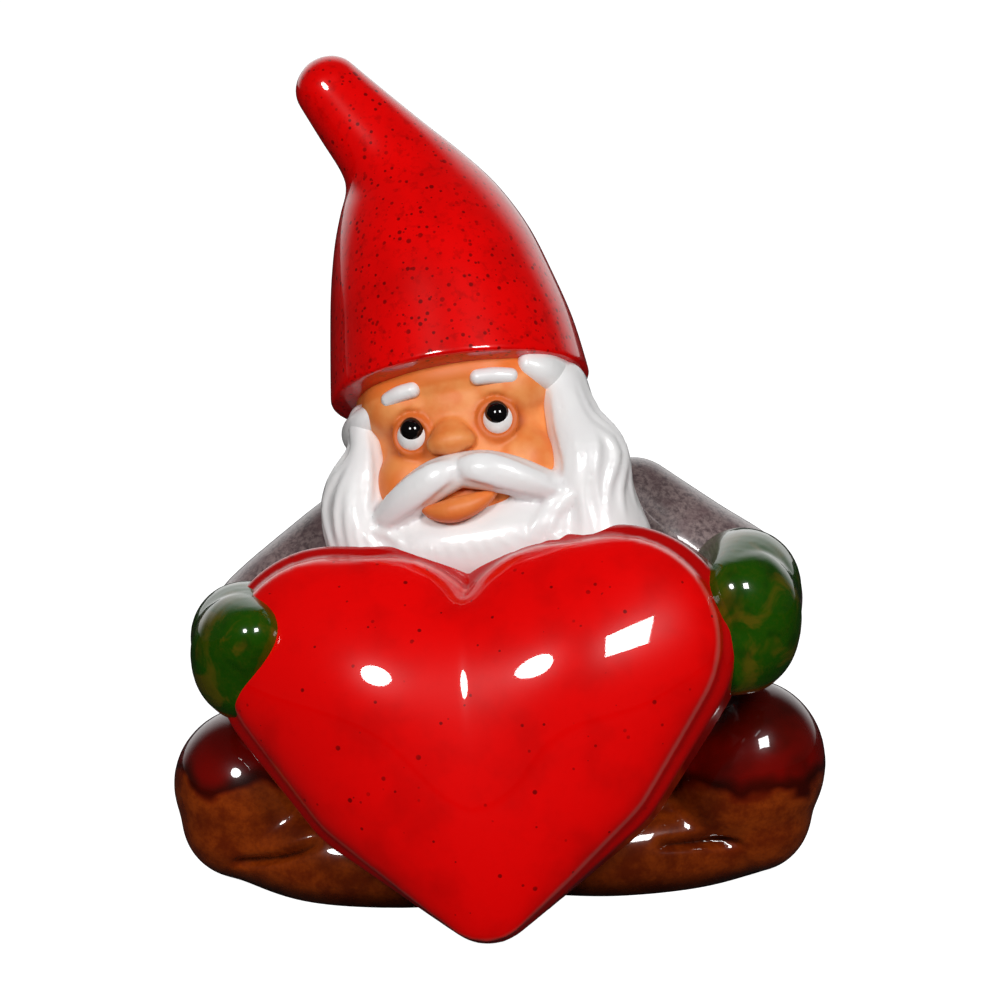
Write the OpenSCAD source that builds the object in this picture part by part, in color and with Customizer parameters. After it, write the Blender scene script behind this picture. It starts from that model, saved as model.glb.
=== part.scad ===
// Seated tomte gnome holding a large heart, as cast and hand-built clay pieces that are luted
// together, glazed and fired. Millimetres, +Z up, the front faces -Y. Left and right are the
// gnome's own, so its left is +X. The origin lies on the underside of the foot, at table height,
// midway between the knees and just behind the crossed shins.

/* [Heart] */
// Width of the heart across its edge
heart_w = 82; // [76:1:86]
// Height of the heart from its point to its lobes
heart_h = 65; // [60:1:68]
// How far the front swells past the edge
heart_bulge = 11; // [7:1:13]
// Thickness of the heart behind the edge
heart_back = 13; // [10:1:14]
// How far the heart's side wall spreads towards the back
heart_flare = 2.6; // [1:0.2:3.4]
// How far the heart leans back, in degrees
heart_lean = 20; // [16:1:22]
// How far the heart is turned in its own plane, in degrees
heart_roll = 5.5; // [2:0.5:7]

/* [Head] */
// Width of the head
head_w = 40; // [38:1:42]
// Height of the middle of the head above the table
head_z = 75; // [73:1:77]
// How far the face looks up, in degrees
head_pitch = 18; // [14:1:22]
// How far the head leans to the gnome's right, in degrees
head_roll = 13; // [8:1:14]
// How far the face turns to the gnome's right, in degrees
head_yaw = 7; // [0:1:10]
// Diameter of an eyeball
eye_d = 5.8; // [5:0.1:6.4]
// Distance between the middles of the eyes
eye_gap = 14.7; // [13:0.1:16]

/* [Hat] */
// Diameter of the hat at its brim
brim_d = 46; // [44:0.5:47]
// Height of the hat's tip above the brim
hat_h = 55; // [50:1:57]
// How far the tip hangs to the gnome's right
hat_droop = 17.5; // [14:0.5:22]
// Radius of the rounded tip
hat_tip_r = 4.6; // [4:0.1:6]
// How far the cone of the hat leans back, in degrees
hat_pitch = 11; // [6:1:13]
// How far the brim is tipped back, in degrees
brim_pitch = 28; // [22:1:32]

/* [Body] */
// Width of the coat
coat_w = 62; // [58:1:66]
// Depth of the coat
coat_d = 50; // [46:1:52]
// Height of the shoulders
shoulder_z = 58; // [56:1:60]
// Radius of a sleeve
sleeve_r = 8.5; // [8:0.1:9.5]
// Radius of a mitten across its back
mitten_r = 9; // [8:0.1:10]
// Distance between the middles of the knees
knee_span = 87; // [82:1:90]
// Radius of a knee
knee_r = 12.5; // [11:0.1:13.5]
// Radius of a shin
shin_r = 7.2; // [6:0.1:8]

/* [Clay] */
// Wall of the hollow castings
wall = 3.5; // [3:0.5:4.5]
// Thickness of the foot slab
foot_t = 3; // [2:0.5:4]
// Diameter of the foot slab
foot_d = 40; // [34:1:42]
// Diameter of the kiln vents between the hollows
vent_d = 3; // [2:0.1:3.5]

/* [Hidden] */

RED = "#c80a08";
SKIN = "#e08a4c";
WHITE = "#ececee";
GREY = "#7d7074";
GREEN = "#2c5a16";
BROWN = "#5e2a10";
BLACK = "#0c0a0a";
CLAY = "#c9a37c";

big = 200;                  // larger than anything in the model
bead_fn = 16;               // facets around a large blended form
small_fn = 14;              // facets around a small blended form
lip = 0.1;                  // play left round a true sphere in a faceted seat

head_at = [-4.1, 4, head_z];
head_r = head_w / 2;
eye_r = eye_d / 2;
eye_at = [eye_gap / 2, -head_r + 3.1, 0.6];
pupil_r = eye_r * 0.7;

heart_point = [-0.4, -46, 1];
lobe_r = heart_w / 2 - 24;
point_r = heart_h * 0.19;
lobe_circles = [
    [heart_w / 2 - lobe_r, heart_h - lobe_r, lobe_r],
    [heart_w * 0.17, heart_h - lobe_r - 0.5, lobe_r - 0.2],
    [heart_w / 2 - lobe_r - 9.5, heart_h * 0.48, lobe_r - 0.2],
    [0, point_r, point_r]
];

// ---- blended forms: a bead is [x, y, z, rx, ry, rz] ----

// A smooth curve through a list of vectors, with t from 0 at the first to 1 at the last.
function along(list, t) =
    let (n = len(list) - 1, s = min(floor(t * n), n - 1), u = t * n - s,
         p0 = list[max(s - 1, 0)], p1 = list[s], p2 = list[s + 1], p3 = list[min(s + 2, n)])
    0.5 * (2 * p1 + (p2 - p0) * u + (2 * p0 - 5 * p1 + 4 * p2 - p3) * u * u
           + (3 * p1 - p0 - 3 * p2 + p3) * u * u * u);

// The same beads with every radius smaller by t.
function thinner(beads, t) = [for (b = beads) b - [0, 0, 0, t, t, t]];

// The same beads on the other side of the gnome.
function mirrored(beads, side) =
    [for (b = beads) [side * b[0], b[1], b[2], b[3], b[4], b[5]]];

module bead(b, fn = bead_fn)
    translate([b[0], b[1], b[2]]) scale([b[3], b[4], b[5]]) sphere(r = 1, $fn = fn);

// A limb is a row of beads joined by hulls along a smooth curve.
module limb(beads, steps = 8, fn = bead_fn)
    for (i = [0 : steps - 1]) hull() {
        bead(along(beads, i / steps), fn);
        bead(along(beads, (i + 1) / steps), fn);
    }

module above_table() translate([-big / 2, -big / 2, 0]) cube(big);

module half_space(side) translate([side > 0 ? 0 : -big, -big / 2, -big / 2]) cube(big);

// ---- frames of the leaning heart and the tilted head ----

module heart_frame() translate(heart_point) rotate([-heart_lean, -heart_roll, 0]) children();

module head_frame() translate(head_at) rotate([-head_pitch, -head_roll, -head_yaw]) children();

// ---- heart ----

// Depth and outline offset of each layer, from the back to the middle of the domed front.
function heart_layers(inset) = concat(
    [[heart_back - inset, heart_flare], [0, 0]],
    [for (a = [18 : 18 : 90]) [-(heart_bulge - inset) * sin(a), -(point_r - 2) * (1 - cos(a))]]
);

module heart_form(inset = 0) {
    layers = heart_layers(inset);
    heart_frame() for (side = [-1, 1]) for (i = [0 : len(layers) - 2]) hull()
        for (k = [i, i + 1]) for (c = lobe_circles)
            translate([side * c[0], layers[k][0], c[1]]) rotate([90, 0, 0])
                cylinder(r = max(c[2] + layers[k][1] - inset, 0.5), h = 0.1, $fn = 32);
}

// The vent runs from the hollow heart into the hollow coat.
module heart_vent()
    heart_frame() translate([0, 0, heart_h * 0.45]) rotate([-90, 0, 0])
        cylinder(d = vent_d, h = heart_back + wall * 4, $fn = 16);

// ---- body ----

coat_beads = [
    [0, 13, 11, coat_w / 2 - 1, coat_d / 2, 15],
    [0, 13, 27, coat_w / 2, coat_d / 2, 18],
    [-1, 12, shoulder_z - 17, coat_w / 2 - 2, coat_d / 2 - 2, 15],
    [-4, 9, shoulder_z - 7, coat_w / 2 - 10, coat_d / 2 - 7, 9]
];

module coat_form(inset = 0) limb(thinner(coat_beads, inset), 7);

// Sleeves: the gnome's left shoulder and arm stand higher than its right.
function sleeve_beads(side) = side > 0 ? [
    [23, 9, shoulder_z + 3.4, sleeve_r, sleeve_r, sleeve_r],
    [33, 6, shoulder_z - 2.6, sleeve_r, sleeve_r + 1, sleeve_r],
    [42, 1, shoulder_z - 8.4, sleeve_r + 0.5, sleeve_r + 1, sleeve_r + 1],
    [43.4, -8, shoulder_z - 9.6, sleeve_r - 0.5, sleeve_r, sleeve_r]
] : [
    [-23.4, 9, shoulder_z - 0.8, sleeve_r, sleeve_r, sleeve_r],
    [-29.6, 6, shoulder_z - 5, sleeve_r, sleeve_r + 1, sleeve_r],
    [-40.6, 1, shoulder_z - 14.6, sleeve_r + 0.5, sleeve_r + 1, sleeve_r + 1],
    [-42.6, -8, shoulder_z - 16.6, sleeve_r - 0.5, sleeve_r, sleeve_r]
];

module sleeve_form(side) limb(sleeve_beads(side), 6);

function mitten_beads(side) = side > 0 ? [
    [41, -11, shoulder_z - 4, mitten_r, mitten_r * 0.9, mitten_r],
    [41.5, -18, shoulder_z - 4, mitten_r, mitten_r, mitten_r + 1],
    [42, -25, shoulder_z - 7, mitten_r - 0.6, mitten_r, mitten_r + 2.4],
    [38, -29, shoulder_z - 12, mitten_r - 3.5, mitten_r - 2, mitten_r - 2]
] : [
    [-41.6, -11, shoulder_z - 13.6, mitten_r, mitten_r * 0.9, mitten_r],
    [-43.2, -18, shoulder_z - 12.8, mitten_r, mitten_r, mitten_r + 0.4],
    [-43.2, -25, shoulder_z - 14.4, mitten_r - 0.8, mitten_r, mitten_r + 1.2],
    [-38, -29, shoulder_z - 18.4, mitten_r - 3.5, mitten_r - 2, mitten_r - 2]
];

module mitten_form(side) limb(mitten_beads(side), 6);

function thigh_beads(side) = let (up = side > 0 ? 4 : 0.4) [
    [side * 16, 14, 15, 10, 11, 11],
    [side * 32, 4, 16 + up / 2, 11, 11.5, 12],
    [side * knee_span / 2, -7, 16.5 + up, knee_r, knee_r - 0.5, knee_r + up / 2],
    [side * (knee_span / 2 - 4), -11, 14.5 + up, knee_r - 2, knee_r - 3, knee_r - 1]
];

module thigh_form(side) limb(thigh_beads(side), 6);

function shin_beads(side) = let (front = side > 0 ? 3 : -2, fat = side > 0 ? 0 : 1) [
    [side * (knee_span / 2 - 2), -7 + front / 2, shin_r + 0.4, shin_r + 1.4 + fat, shin_r + 1, shin_r + 1.2],
    [side * 31, -13.4 + front, shin_r, shin_r + 2, shin_r + 1.6 + fat, shin_r + 1.6],
    [side * 19, -17.6 + front, shin_r - 0.4, shin_r, shin_r + 0.6, shin_r + 1],
    [side * 8, -18 + front, shin_r - 0.8, shin_r - 1, shin_r - 0.5, shin_r]
];

module shin_form(side) limb(shin_beads(side), 6);

// ---- head, hair and hat, in the head's own frame ----

head_beads = [
    [0, 1, 5, head_r, head_r, head_r - 3],
    [0, 0, 0, head_r - 0.5, head_r - 0.6, head_r - 2],
    [0, -2.5, -8, head_r - 5, head_r - 4, head_r - 9]
];

module head_form(inset = 0) head_frame() limb(thinner(head_beads, inset), 7);

module neck_form(r = 9)
    translate([head_at[0], head_at[1] + 5, shoulder_z - 5]) cylinder(r = r, h = 14, $fn = 24);

module nose_form()
    head_frame() limb([
        [0, -head_r + 3, 4.4, 2.4, 2.6, 2.6],
        [0, -head_r + 1.2, 1.2, 3.2, 3, 2.6],
        [-0.3, -head_r + 0.2, -1.6, 4, 3.4, 2.8]
    ], 8, small_fn);

module lip_form()
    head_frame() limb([
        [-6.4, -head_r + 3.6, -12, 1, 1.6, 0.8],
        [-1.2, -head_r + 1, -13.2, 2.6, 2.4, 2],
        [4.2, -head_r + 3.4, -11.8, 1, 1.6, 0.8]
    ], 8, small_fn);

module moustache_form(side)
    intersection() {
        head_frame() limb(mirrored([
            [1.6, -head_r + 0.4, -6.2, 2.8, 2.8, 3.4],
            [6.2, -head_r + 0.6, -7.6, 3.2, 3.2, 3.2],
            [10.4, -head_r + 3, -9.8, 2.8, 2.8, 2.4],
            [13.6, -head_r + 5.6, -11.4, 1.6, 1.8, 1.4]
        ], side), 8, small_fn);
        head_frame() half_space(side);
    }

// The beard wraps the jaw and fans out over the top of the heart.
module beard_form() {
    limb([
        [-25, 6, head_z - 17, 7, 10, 9],
        [-17, -6, head_z - 14, 9, 11, 12],
        [-4.5, -10, head_z - 15, 11, 12, 14],
        [8, -6, head_z - 12, 9, 11, 12],
        [17.5, 6, head_z - 11, 7, 10, 10]
    ], 8, small_fn);
    head_frame() for (side = [-1, 1]) limb(mirrored([
        [18.4, -4, 3, 3.4, 5, 5],
        [18.6, -6, -6, 4.4, 6, 6],
        [16, -8, -13, 6, 6, 5]
    ], side), 4, small_fn);
}

module temple_form(side)
    head_frame() limb(mirrored([
        [15, -13, 8.4, 2.4, 2.8, 2.4],
        [18, -9, 7.8, 3.2, 4.4, 3.2],
        [20.4, -2, 6, 3, 4.5, 4.2]
    ], side), 8, small_fn);

module back_hair_form()
    head_frame() limb([
        [-18.5, 5, 1, 3.4, 5, 8],
        [-12.5, 14.5, 0, 5, 4.6, 10],
        [0, 18.5, 0, 6, 4, 11.6],
        [12.5, 14.5, 0, 5, 4.6, 10],
        [18.5, 5, 1, 3.4, 5, 8]
    ], 8);

hat_base = [head_at[0] - 3.4, head_at[1] + 1, head_z + 14];
brim_drop = 4.6;
brim_r = brim_d / 2;

hat_beads = [
    [hat_base[0], hat_base[1], hat_base[2] - 11, brim_r - 0.6, brim_r - 1, 8],
    [hat_base[0], hat_base[1], hat_base[2] - 2, brim_r - 0.6, brim_r - 1, 6],
    [hat_base[0] - hat_droop * 0.03, hat_base[1] + 3, hat_base[2] + hat_h * 0.19, brim_r - 3.6, brim_r - 4, 6],
    [hat_base[0] - hat_droop * 0.13, hat_base[1] + 6, hat_base[2] + hat_h * 0.4, brim_r * 0.69, brim_r * 0.7, 7],
    [hat_base[0] - hat_droop * 0.34, hat_base[1] + 9, hat_base[2] + hat_h * 0.58, brim_r * 0.49, brim_r * 0.5, 8],
    [hat_base[0] - hat_droop * 0.64, hat_base[1] + 11, hat_base[2] + hat_h * 0.75, brim_r * 0.32, brim_r * 0.33, 7],
    [hat_base[0] - hat_droop, hat_base[1] + 13, hat_base[2] + hat_h - hat_tip_r, hat_tip_r, hat_tip_r, hat_tip_r]
];

// Turns the hat about the middle of its brim.
module hat_frame(pitch) translate(hat_base) rotate([-pitch, -8, 0]) translate(-hat_base) children();

// The cone leans back a little, and the brim is cut much further back than that.
module hat_form(inset = 0) intersection() {
    hat_frame(hat_pitch) limb(thinner(hat_beads, inset), 10);
    hat_frame(brim_pitch) translate(hat_base - [0, 0, brim_drop - inset]) cylinder(r = big / 2, h = big);
}

// ---- the pieces ----

module foot_slab() color(CLAY) translate([0, 12, 0]) difference() {
    cylinder(d = foot_d, h = foot_t, $fn = 64);
    translate([0, 0, -1]) cylinder(d = vent_d, h = foot_t + 2, $fn = 24);
}

module coat_body() color(GREY) difference() {
    intersection() { coat_form(); translate([0, 0, foot_t]) above_table(); }
    intersection() { coat_form(wall); translate([0, 0, foot_t + wall]) above_table(); }
    translate([0, 12, 0]) cylinder(d = vent_d, h = foot_t + wall + 2, $fn = 16);
    heart_form();
    heart_vent();
    neck_form(4);
}

module sleeve(side) color(GREY) difference() {
    sleeve_form(side);
    coat_form();
    heart_form();
}

module mitten(side) color(GREEN) difference() {
    mitten_form(side);
    sleeve_form(side);
    heart_form();
}

module thigh(side) color(BROWN) difference() {
    intersection() { thigh_form(side); above_table(); }
    coat_form();
    heart_form();
    mitten_form(side);
}

module shin(side) color(BROWN) difference() {
    intersection() {
        shin_form(side);
        above_table();
        half_space(side);
    }
    thigh_form(side);
    coat_form();
    heart_form();
}

module heart() color(RED) difference() {
    intersection() { heart_form(); above_table(); }
    heart_form(wall);
    heart_vent();
}

module head() color(SKIN) difference() {
    union() {
        head_form();
        neck_form();
    }
    head_form(wall);
    neck_form(vent_d);
    for (side = [-1, 1]) eyeball_form(side, lip);
    coat_form();
}

module eyeball_form(side, play = 0)
    head_frame() translate([side * eye_at[0], eye_at[1], eye_at[2]])
        sphere(r = eye_r + play, $fn = 32);

module eyeball(side) color(WHITE) eyeball_form(side);

module pupil(side) color(BLACK) difference() {
    head_frame() translate([side * eye_at[0], eye_at[1] - eye_r + 1.2, eye_at[2] + 0.7])
        sphere(r = pupil_r, $fn = 32);
    eyeball_form(side);
}

module eyebrow(side) color(WHITE) difference() {
    head_frame() hull() {
        translate([side * 5.6, -head_r + 1.6, 8.2]) sphere(r = 1.6, $fn = small_fn);
        translate([side * 10.4, -head_r + 3.6, 7.4]) sphere(r = 1.5, $fn = small_fn);
    }
    head_form();
}

module nose() color(SKIN) difference() {
    nose_form();
    head_form();
}

module lower_lip() color(SKIN) difference() {
    lip_form();
    head_form();
}

module moustache(side) color(WHITE) difference() {
    moustache_form(side);
    head_form();
    nose_form();
    lip_form();
}

module beard() color(WHITE) difference() {
    beard_form();
    head_form();
    neck_form();
    for (side = [-1, 1]) {
        moustache_form(side);
        sleeve_form(side);
        temple_form(side);
    }
    lip_form();
    nose_form();
    coat_form();
    heart_form();
    mouth_opening();
    hat_form();
}

// Keeps the cheeks and mouth clear of the beard.
module mouth_opening()
    head_frame() limb([
        [0, -head_r - 3, 8, 15, 8, 6],
        [0, -head_r - 3, -2, 14.5, 8, 6],
        [0, -head_r - 3, -8.5, 8, 8, 5]
    ], 4, small_fn);

module temple_lock(side) color(WHITE) difference() {
    temple_form(side);
    head_form();
}

module back_hair() color(WHITE) difference() {
    back_hair_form();
    head_form();
    beard_form();
    for (side = [-1, 1]) temple_form(side);
    coat_form();
    neck_form();
}

module hat() color(RED) difference() {
    hat_form();
    difference() {
        hat_form(wall);
        head_frame() limb(thinner(head_beads, -wall), 7);
    }
    head_form();
    for (side = [-1, 1]) {
        temple_form(side);
        eyebrow(side);
    }
    back_hair_form();
    head_frame() cylinder(d = vent_d, h = head_r + wall * 2, $fn = 16);
}

foot_slab();
coat_body();
sleeve(1);  // left_sleeve
sleeve(-1);  // right_sleeve
mitten(1);  // left_mitten
mitten(-1);  // right_mitten
thigh(1);  // left_thigh
thigh(-1);  // right_thigh
shin(1);  // left_shin
shin(-1);  // right_shin
heart();
head();
nose();
lower_lip();
eyeball(1);  // left_eyeball
eyeball(-1);  // right_eyeball
pupil(1);  // left_pupil
pupil(-1);  // right_pupil
eyebrow(1);  // left_eyebrow
eyebrow(-1);  // right_eyebrow
moustache(1);  // left_moustache
moustache(-1);  // right_moustache
beard();
temple_lock(1);  // left_temple_lock
temple_lock(-1);  // right_temple_lock
back_hair();
hat();
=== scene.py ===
"""A seated ceramic tomte that hugs a large glossy heart."""

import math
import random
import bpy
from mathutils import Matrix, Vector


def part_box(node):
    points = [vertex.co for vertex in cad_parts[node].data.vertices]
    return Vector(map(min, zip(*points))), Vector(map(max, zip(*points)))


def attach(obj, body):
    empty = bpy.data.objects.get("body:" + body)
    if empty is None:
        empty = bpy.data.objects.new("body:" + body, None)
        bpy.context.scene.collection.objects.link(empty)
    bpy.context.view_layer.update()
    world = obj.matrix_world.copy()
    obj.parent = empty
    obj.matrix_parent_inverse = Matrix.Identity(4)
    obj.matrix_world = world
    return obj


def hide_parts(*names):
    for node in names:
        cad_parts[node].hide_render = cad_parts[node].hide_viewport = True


bl_info = {
    "name": "Ceramic tomte",
    "version": (1, 0, 0),
    "blender": (4, 5, 0),
    "location": "View3D > Sidebar > Tomte",
    "description": "Models and glazes a seated ceramic tomte that hugs a large heart",
    "category": "Add Mesh",
}

import bpy
import numpy as np
from mathutils import Euler, Matrix, Vector
from mathutils.geometry import convex_hull_2d

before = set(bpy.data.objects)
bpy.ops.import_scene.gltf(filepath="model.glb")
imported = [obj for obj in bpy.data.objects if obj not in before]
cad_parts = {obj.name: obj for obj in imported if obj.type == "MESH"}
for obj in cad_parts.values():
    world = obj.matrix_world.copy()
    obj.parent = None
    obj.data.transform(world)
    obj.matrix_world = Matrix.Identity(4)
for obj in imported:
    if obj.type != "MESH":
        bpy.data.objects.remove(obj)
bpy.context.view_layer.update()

MM = 0.001
SIDES = {"left": 1, "right": -1}
# How far each eye is from the middle of the face, and how large it is, in mm
EYE_X, EYE_RADIUS = 7.35, 2.95
# The levels between which the skin warms towards the chin, in mm above the table
CHIN, CHEEKS = 66, 80
# The hat's lower edge as a ring about the hat's origin: x, y, z, radius in mm, pitch, roll in degrees
BRIM = (0.9, -1.3, 8.6, 22.2, -30, -8)

# ---- places measured on the frame ----


def middle(node):
    """Centre of a CAD node's box."""
    low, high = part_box(node)
    return (Vector(low) + Vector(high)) / 2


def face_frame():
    """Frame between the eyes: x to the gnome's left, y into the head, z up the forehead."""
    pitch = bpy.context.scene.tomte_form.face_pitch
    left, right = middle("left_eyeball"), middle("right_eyeball")
    across = (left - right).normalized()
    yaw = math.atan2(across.y, across.x)
    roll = -math.asin(across.z)
    return Matrix.Translation((left + right) / 2) @ Euler((-pitch, roll, yaw)).to_matrix().to_4x4()


def hat_origin():
    """The point that the hat's rings are measured from, in millimetres."""
    low, high = (Vector(c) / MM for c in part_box("hat"))
    return high.x - 22.6, low.y + 20.3, low.z


def moved(beads, node):
    """Beads given from the middle of a CAD node, placed where that node is. All in millimetres."""
    centre = middle(node) / MM
    return [(x + centre.x, y + centre.y, z + centre.z, *radii) for x, y, z, *radii in beads]


def mirrored(beads, side):
    """The same beads on the gnome's left (1) or right (-1)."""
    return [(side * x, *rest) for x, *rest in beads]


# ---- modelling in clay ----


def along(stations, t):
    """A smooth curve through stations of any width, with t from 0 at the first to 1 at the last."""
    last = len(stations) - 1
    start = min(int(t * last), last - 1)
    u = t * last - start
    p0, p1, p2, p3 = (stations[min(max(start + k, 0), last)] for k in (-1, 0, 1, 2))
    return [
        0.5 * (2 * b + (c - a) * u + (2 * a - 5 * b + 4 * c - d) * u**2 + (3 * b - a - 3 * c + d) * u**3)
        for a, b, c, d in zip(p0, p1, p2, p3)
    ]


def spread(stations, count):
    """Stations at even steps along their smooth curve."""
    return [along(stations, k / (count - 1)) for k in range(count)]


def mode(name):
    bpy.ops.object.mode_set(mode=name)


def deselect():
    if bpy.context.mode != "OBJECT":
        mode("OBJECT")
    bpy.ops.object.select_all(action="DESELECT")


def pick(piece):
    """Makes the piece the only selected one, and active."""
    deselect()
    piece.select_set(True)
    bpy.context.view_layer.objects.active = piece


def ball(bead, turn=(0, 0, 0), segments=32):
    """A lump of clay from a bead: x, y, z and three radii, in millimetres."""
    x, y, z, *radii = bead
    bpy.ops.mesh.primitive_uv_sphere_add(
        segments=segments,
        ring_count=segments // 2,
        radius=MM,
        location=(x * MM, y * MM, z * MM),
        rotation=turn,
        scale=radii,
    )
    return bpy.context.object


def limb(beads, count=24, segments=32):
    """Balls of clay along a smooth curve."""
    return [ball(bead, segments=segments) for bead in spread(beads, count)]


def gather(name, lumps):
    """Joins the lumps into one piece whose place is in its mesh."""
    deselect()
    for lump in lumps:
        lump.select_set(True)
    piece = lumps[0]
    bpy.context.view_layer.objects.active = piece
    bpy.ops.object.join()
    bpy.ops.object.transform_apply(location=True, rotation=True, scale=True)
    piece.name = name
    piece.data.name = name
    return piece


def apply_modifier(piece, kind, **settings):
    bpy.context.view_layer.objects.active = piece
    modifier = piece.modifiers.new(kind.title(), kind)
    for key, value in settings.items():
        setattr(modifier, key, value)
    bpy.ops.object.modifier_apply(modifier=modifier.name)


def knead(piece, grain, rounds):
    """Blends the lumps into one skin and softens it, as a wet sponge does."""
    pick(piece)
    apply_modifier(piece, "REMESH", mode="VOXEL", voxel_size=grain * MM)
    if rounds:
        apply_modifier(piece, "SMOOTH", factor=0.5, iterations=rounds)
    bpy.ops.object.shade_smooth()


def clay(name, lumps, grain, rounds):
    """One kneaded piece from lumps."""
    piece = gather(name, lumps)
    knead(piece, grain, rounds)
    return piece


def settle(piece, place):
    """Carries a piece that was modelled about the origin to its place, and applies it."""
    piece.matrix_world = place
    pick(piece)
    bpy.ops.object.transform_apply(location=True, rotation=True, scale=True)


def carve(piece, tool):
    """Cuts the tool's shape out of the piece and throws the tool away."""
    deselect()
    apply_modifier(piece, "BOOLEAN", operation="DIFFERENCE", object=tool, solver="EXACT")
    bpy.data.objects.remove(tool)


def skin_of(piece):
    """The piece's vertices, in millimetres, and their normals."""
    vertices = piece.data.vertices
    co, normal = np.empty(len(vertices) * 3), np.empty(len(vertices) * 3)
    vertices.foreach_get("co", co)
    vertices.foreach_get("normal", normal)
    return co.reshape(-1, 3) / MM, normal.reshape(-1, 3)


def reshape(piece, co):
    """Moves the piece's vertices to co, in millimetres."""
    piece.data.vertices.foreach_set("co", (co * MM).ravel())
    piece.data.update()


def laid(base, point, lift):
    """The nearest spot on the base's skin, raised by lift."""
    _, spot, normal, _ = base.closest_point_on_mesh(Vector(point) * MM)
    return spot / MM + normal * lift


def add_strands(name, paths, width):
    """Rolled strands of clay. A path's point is x, y, z and a thickness from 0 to 1."""
    curve = bpy.data.curves.new(name, "CURVE")
    curve.dimensions = "3D"
    curve.bevel_depth = width * MM
    curve.bevel_resolution = 3
    curve.use_fill_caps = True
    for path in paths:
        spline = curve.splines.new("POLY")
        spline.points.add(len(path) - 1)
        for point, (x, y, z, thickness) in zip(spline.points, path):
            point.co = (x * MM, y * MM, z * MM, 1)
            point.radius = thickness
    strands = bpy.data.objects.new(name, curve)
    bpy.context.collection.objects.link(strands)
    pick(strands)
    bpy.ops.object.convert(target="MESH")
    return bpy.context.object


def combed(base, lines, count, lift, wave=0.0, turns=1.0, seed=1, points=16):
    """Strand paths that run across a family of lines, from the first line to the last.

    Each line is a list of points, and strand k crosses every line at the same fraction of it.
    """
    dice = random.Random(seed)
    paths = []
    for k in range(count):
        share = (k + 0.5) / count
        crossings = [along(line, share) for line in lines]
        ahead = [along(line, min(share + 0.02, 1)) for line in lines]
        phase = dice.uniform(0, 2 * math.pi)
        reach = dice.uniform(0.85, 1.0)
        path = []
        for step in range(points):
            t = step / (points - 1)
            spot = Vector(along(crossings, t * reach))
            aside = (Vector(along(ahead, t * reach)) - spot).normalized()
            spot += aside * wave * math.sin(turns * 2 * math.pi * t + phase)
            thickness = math.sin(math.pi * min(max(t, 0.04), 0.96)) ** 0.45
            path.append((*laid(base, spot, lift), thickness))
        paths.append(path)
    return paths


def rings_of(name, rings, segments):
    """A piece of rings only: x, y, z, radius, pitch and roll, in millimetres and degrees."""
    deselect()
    bpy.ops.object.add(type="MESH", location=(0, 0, 0))
    piece = bpy.context.object
    piece.name = name
    piece.data.name = name
    mode("EDIT")
    for x, y, z, radius, pitch, roll in rings:
        bpy.ops.mesh.primitive_circle_add(
            vertices=segments,
            radius=radius * MM,
            location=(x * MM, y * MM, z * MM),
            rotation=(math.radians(pitch), math.radians(roll), 0),
        )
    return piece


def loft(name, rings, segments=64):
    """A closed skin over a row of rings."""
    piece = rings_of(name, rings, segments)
    mode("OBJECT")
    for k in range(len(rings) - 1):
        select_range(piece, k * segments, (k + 2) * segments)
        mode("EDIT")
        bpy.ops.mesh.bridge_edge_loops()
        mode("OBJECT")
    for k in (0, len(rings) - 1):
        select_range(piece, k * segments, (k + 1) * segments)
        mode("EDIT")
        bpy.ops.mesh.edge_face_add()
        bpy.ops.mesh.poke()
        mode("OBJECT")
    mode("EDIT")
    bpy.ops.mesh.select_all(action="SELECT")
    bpy.ops.mesh.normals_make_consistent(inside=False)
    mode("OBJECT")
    bpy.ops.object.shade_smooth()
    return piece


def axis_of(ring):
    """The way a ring faces, from its pitch and roll."""
    return Euler((math.radians(ring[4]), math.radians(ring[5]), 0)).to_matrix() @ Vector((0, 0, 1))


def select_range(piece, first, past):
    """Selects the piece's vertices from first up to past, and the edges between them."""
    mesh = piece.data
    mesh.polygons.foreach_set("select", [False] * len(mesh.polygons))
    mesh.edges.foreach_set("select", [False] * len(mesh.edges))
    mesh.vertices.foreach_set("select", [first <= k < past for k in range(len(mesh.vertices))])
    for edge in mesh.edges:
        edge.select = all(first <= k < past for k in edge.vertices)
    bpy.context.tool_settings.mesh_select_mode = (False, True, False)


# ---- glazes ----

# The specular level of a glaze whose gloss comes from its clear coat alone
DULL = 0.1


def screen_colour(r, g, b):
    """A colour from its values on a 0 to 255 screen scale, as the linear value that shaders use."""
    def linear(v):
        v /= 255
        return v / 12.92 if v <= 0.04045 else ((v + 0.055) / 1.055) ** 2.4
    return (linear(r), linear(g), linear(b), 1.0)


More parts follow.
